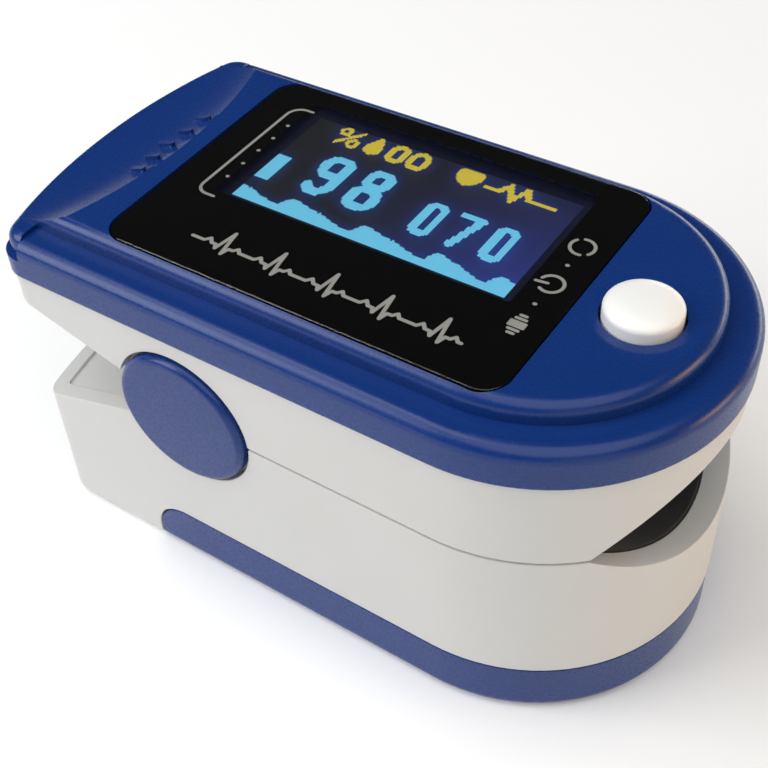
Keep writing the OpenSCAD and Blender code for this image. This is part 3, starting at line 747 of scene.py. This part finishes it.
def sweepTube(name, path, axis, radius, sides, body, material):
    # A round wire along a path: each ring stands square to the path, turned so that it starts
    # square to the given axis. Each end is closed by a smaller ring and a tiny one.
    path = np.asarray(path, float)
    along = np.gradient(path, axis=0)
    along /= np.linalg.norm(along, axis=1, keepdims=True)
    side = np.cross(along, axis)
    side /= np.linalg.norm(side, axis=1, keepdims=True)
    up = np.cross(side, along)
    size = np.full(len(path), radius)
    path = np.concatenate([path[:1], path[:1], path, path[-1:], path[-1:]])
    side, up = (np.concatenate([v[:1], v[:1], v, v[-1:], v[-1:]]) for v in (side, up))
    size = np.concatenate([[1e-7, radius * 0.8], size, [radius * 0.8, 1e-7]])
    path[0:2] -= along[0] * radius * 0.25
    path[-2:] += along[-1] * radius * 0.25
    angle = np.linspace(0, 2 * np.pi, sides, endpoint=False)
    ring = np.cos(angle)[None, :, None] * side[:, None] + np.sin(angle)[None, :, None] * up[:, None]
    points = path[:, None] + ring * size[:, None, None]
    return placeMesh(name, points, gridFaces(len(path), sides, closeColumns=True), body, material)


# Millimetres, apart from the number of turns.
spring = {"wire": 0.4, "radius": 1.75, "turns": 4.5, "leg": 5.4, "spread": 1.52, "middle": 5.6, "bend": 1.2}


def makeTorsionSprings():
    # A leg, four and a half turns round the hinge pin, and a second leg. A turn at angle t is at
    # x = R sin t, z = -R cos t.
    for side in (-1, 1):
        t = np.linspace(0, spring["turns"] * 2 * np.pi, 190)
        coil = np.stack([spring["radius"] * np.sin(t), spring["spread"] * (2 * t / t[-1] - 1),
                         -spring["radius"] * np.cos(t)], -1)
        back = np.linspace(-spring["leg"], -0.3, 9)[:, None]
        low = np.concatenate([back, 0 * back - spring["spread"], 0 * back - spring["radius"]], -1)
        high = low[::-1] * (1, -1, -1)
        path = np.concatenate([low, coil, high]) + (0, side * spring["middle"], 0)
        path = path * mm + (hingeX, 0, hingeZ)
        wire = sweepTube("torsionSpring" + "LR"[side > 0], path, (0, 1, 0), spring["wire"] * mm, 14, None,
                         steel)
        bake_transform(wire)
    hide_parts("torsion_springs")


makeTorsionSprings()


ribbon = {
    "width": 3.9,      # mm
    "thick": 0.14,
    "corner": 0.8,
    "rise": 4.0,       # from the CAD strip's rear end to where the lead climbs
    "inset": 0.15,     # from the CAD strip's faces to the middle of the lead
    "bend": (3, 4),    # how far below and above the hinge
}


def makeLead():
    # The flat lead: a strip of one width carried along a path with round corners.
    low, high = nodeBox("sensor_flex")
    rise, corner, inset = low[0] + ribbon["rise"] * mm, ribbon["corner"] * mm, ribbon["inset"] * mm
    turn = np.linspace(0, np.pi / 2, 10)
    bottom, top = low[2] + inset, high[2] - inset
    start = np.stack([np.linspace(high[0], rise + corner, 12), np.full(12, bottom)], -1)
    first = np.stack([rise + corner - corner * np.sin(turn), bottom + corner - corner * np.cos(turn)], -1)
    up = np.stack([np.full(60, rise), np.linspace(bottom + corner, top - corner, 60)], -1)
    second = np.stack([rise - corner + corner * np.cos(turn), top - corner + corner * np.sin(turn)], -1)
    back = np.stack([np.linspace(rise - corner, low[0], 12), np.full(12, top)], -1)
    path = np.concatenate([start, first[1:], up[1:], second[1:], back[1:]])
    along = np.gradient(path, axis=0)
    along /= np.linalg.norm(along, axis=1, keepdims=True)
    normal = np.stack([-along[:, 1], along[:, 0]], -1)
    half, thick = ribbon["width"] / 2 * mm, ribbon["thick"] / 2 * mm
    section = np.array([(-half, -thick), (half, -thick), (half, thick), (-half, thick)])
    points = np.stack([path[:, None, 0] + normal[:, None, 0] * section[:, 1],
                       np.broadcast_to(section[:, 0], (len(path), 4)),
                       path[:, None, 1] + normal[:, None, 1] * section[:, 1]], -1)
    ends = [[0, 1, 2, 3], [4 * len(path) - k for k in (1, 2, 3, 4)]]
    faces = gridFaces(len(path), 4, closeColumns=True) + ends
    lead = placeMesh("flatLead", points, faces, None, filmAmber, False)
    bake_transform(lead)
    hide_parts("sensor_flex")


makeLead()
print("torsion springs and lead")

# Millimetres. The dimple is its depth, then how far inside the radius its floor and its edge end.
cell = {"radius": 5.25, "length": 44.5, "rim": 0.5, "nub": 1.9, "nubHeight": 1.0, "dimple": (0.25, 1.9, 1.4)}

# Millimetres along the case: the middle of the cell's gold band on each side, and half its width.
bands = {"right": -20.5, "left": 15.0, "half": 4.8}


def revolve(name, profile, start, along, sides, body, material):
    # A profile of (distance along, radius) turned round an axis through start.
    profile = np.asarray(profile, float) * mm
    along = np.array(along, float)
    side = np.cross(along, (0, 0, 1.0))
    up = np.cross(side, along)
    angle = np.linspace(0, 2 * np.pi, sides, endpoint=False)
    ring = np.cos(angle)[:, None] * side + np.sin(angle)[:, None] * up
    points = (np.array(start) + profile[:, None, :1] * along + profile[:, None, 1:] * ring[None])
    faces = gridFaces(len(profile), sides, closeColumns=True)
    return placeMesh(name, points, faces, body, material)


def foilJacket(name):
    # A shrunk foil jacket: dark, with a gold band that lies at another place on each side's cell.
    # Sockets 2 and 3 are the two values of a Mix node.
    material, shader = startMaterial(name, Metallic=0.75, Coat_Weight=0.6, Coat_Roughness=0.1)
    parts = addNode(material, "ShaderNodeSeparateXYZ", None, {0: objectPlace(material)})
    right, left = (addNode(material, "ShaderNodeMath", {"operation": "COMPARE", 1: bands[key] * mm,
                   2: bands["half"] * mm}, {0: parts.outputs[0]}) for key in ("right", "left"))
    isLeft = addNode(material, "ShaderNodeMath", {"operation": "GREATER_THAN", 1: 0.0},
                     {0: parts.outputs[1]})
    chosen = addNode(material, "ShaderNodeMix", {"data_type": "FLOAT"},
                     {0: isLeft.outputs[0], 2: right.outputs[0], 3: left.outputs[0]})
    wrinkle = addNoise(material, 5, 3.0)
    dress(material, shader, mixTones(material, "#23252b", "#b98f3a", chosen), wrinkle, 0.22, 0.36)
    return material


def makeCells():
    # A cell's profile: dimpled flat end, rounded rim, jacket, rounded rim, raised button end.
    jacket = foilJacket("foilJacket")
    low, high = nodeBox("batteries")
    r, length, rim = cell["radius"], cell["length"] - cell["nubHeight"], cell["rim"]
    turn = np.linspace(0, np.pi / 2, 6)
    depth, floorEdge, topEdge = cell["dimple"]
    flat = [(depth, axisGap), (depth, r - floorEdge), (0.05, r - topEdge)]
    firstRim = np.stack([rim - rim * np.cos(turn), r - rim + rim * np.sin(turn)], -1)
    lastRim = np.stack([length - rim + rim * np.sin(turn), r - rim + rim * np.cos(turn)], -1)
    nub, tip = cell["nub"], length + cell["nubHeight"]
    cap = [(length - 0.05, nub + 1.0), (length - 0.05, nub), (tip - 0.15, nub - 0.05), (tip, nub - 0.25),
           (tip, axisGap)]
    profile = np.concatenate([flat, firstRim, lastRim, cap])
    middleZ = (low[2] + high[2]) / 2
    for side in (-1, 1):
        start = (low[0] if side > 0 else high[0], side * (high[1] - r * mm), middleZ)
        piece = revolve("cell" + "AB"[side > 0], profile, start, (side, 0, 0), 72, "lower_half", jacket)
        piece.data.materials.append(steel)
        faceX = np.array([abs(p.center[0] - start[0]) for p in piece.data.polygons]) / mm
        bare = (faceX < rim + 0.05) | (faceX > length - rim - 0.05)
        piece.data.polygons.foreach_set("material_index", bare.astype(int))
        piece.data.set_sharp_from_angle(angle=np.radians(40))
    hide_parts("batteries")


makeCells()


# Millimetres, apart from the number of turns.
contactCoil = {"wire": 0.24, "turns": 3.25, "wide": 3.1, "shrink": 1.75, "wallGap": 0.25, "cellGap": 0.27}


def makeCellSprings():
    # A flat conical coil at each cell's flat end: the radius shrinks and the wire climbs evenly.
    low, high = nodeBox("battery_springs")
    cellLow, cellHigh = nodeBox("batteries")
    middleZ = (cellLow[2] + cellHigh[2]) / 2
    wallGap, cellGap = contactCoil["wallGap"] * mm, contactCoil["cellGap"] * mm
    for side in (-1, 1):
        t = np.linspace(0, contactCoil["turns"] * 2 * np.pi, 130)
        radius = (contactCoil["wide"] - contactCoil["shrink"] * t / t[-1]) * mm
        wall = low[0] + wallGap if side > 0 else high[0] - wallGap
        reach = (cellLow[0] - cellGap if side > 0 else cellHigh[0] + cellGap) - wall
        middleY = side * (cellHigh[1] - cell["radius"] * mm)
        path = np.stack([wall + reach * t / t[-1], middleY + radius * np.cos(t),
                         middleZ + radius * np.sin(t)], -1)
        sweepTube("cellSpring" + "AB"[side > 0], path, (1, 0, 0), contactCoil["wire"] * mm, 10,
                              "lower_half", steel)
    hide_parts("battery_springs")


makeCellSprings()
print("cells and their springs")
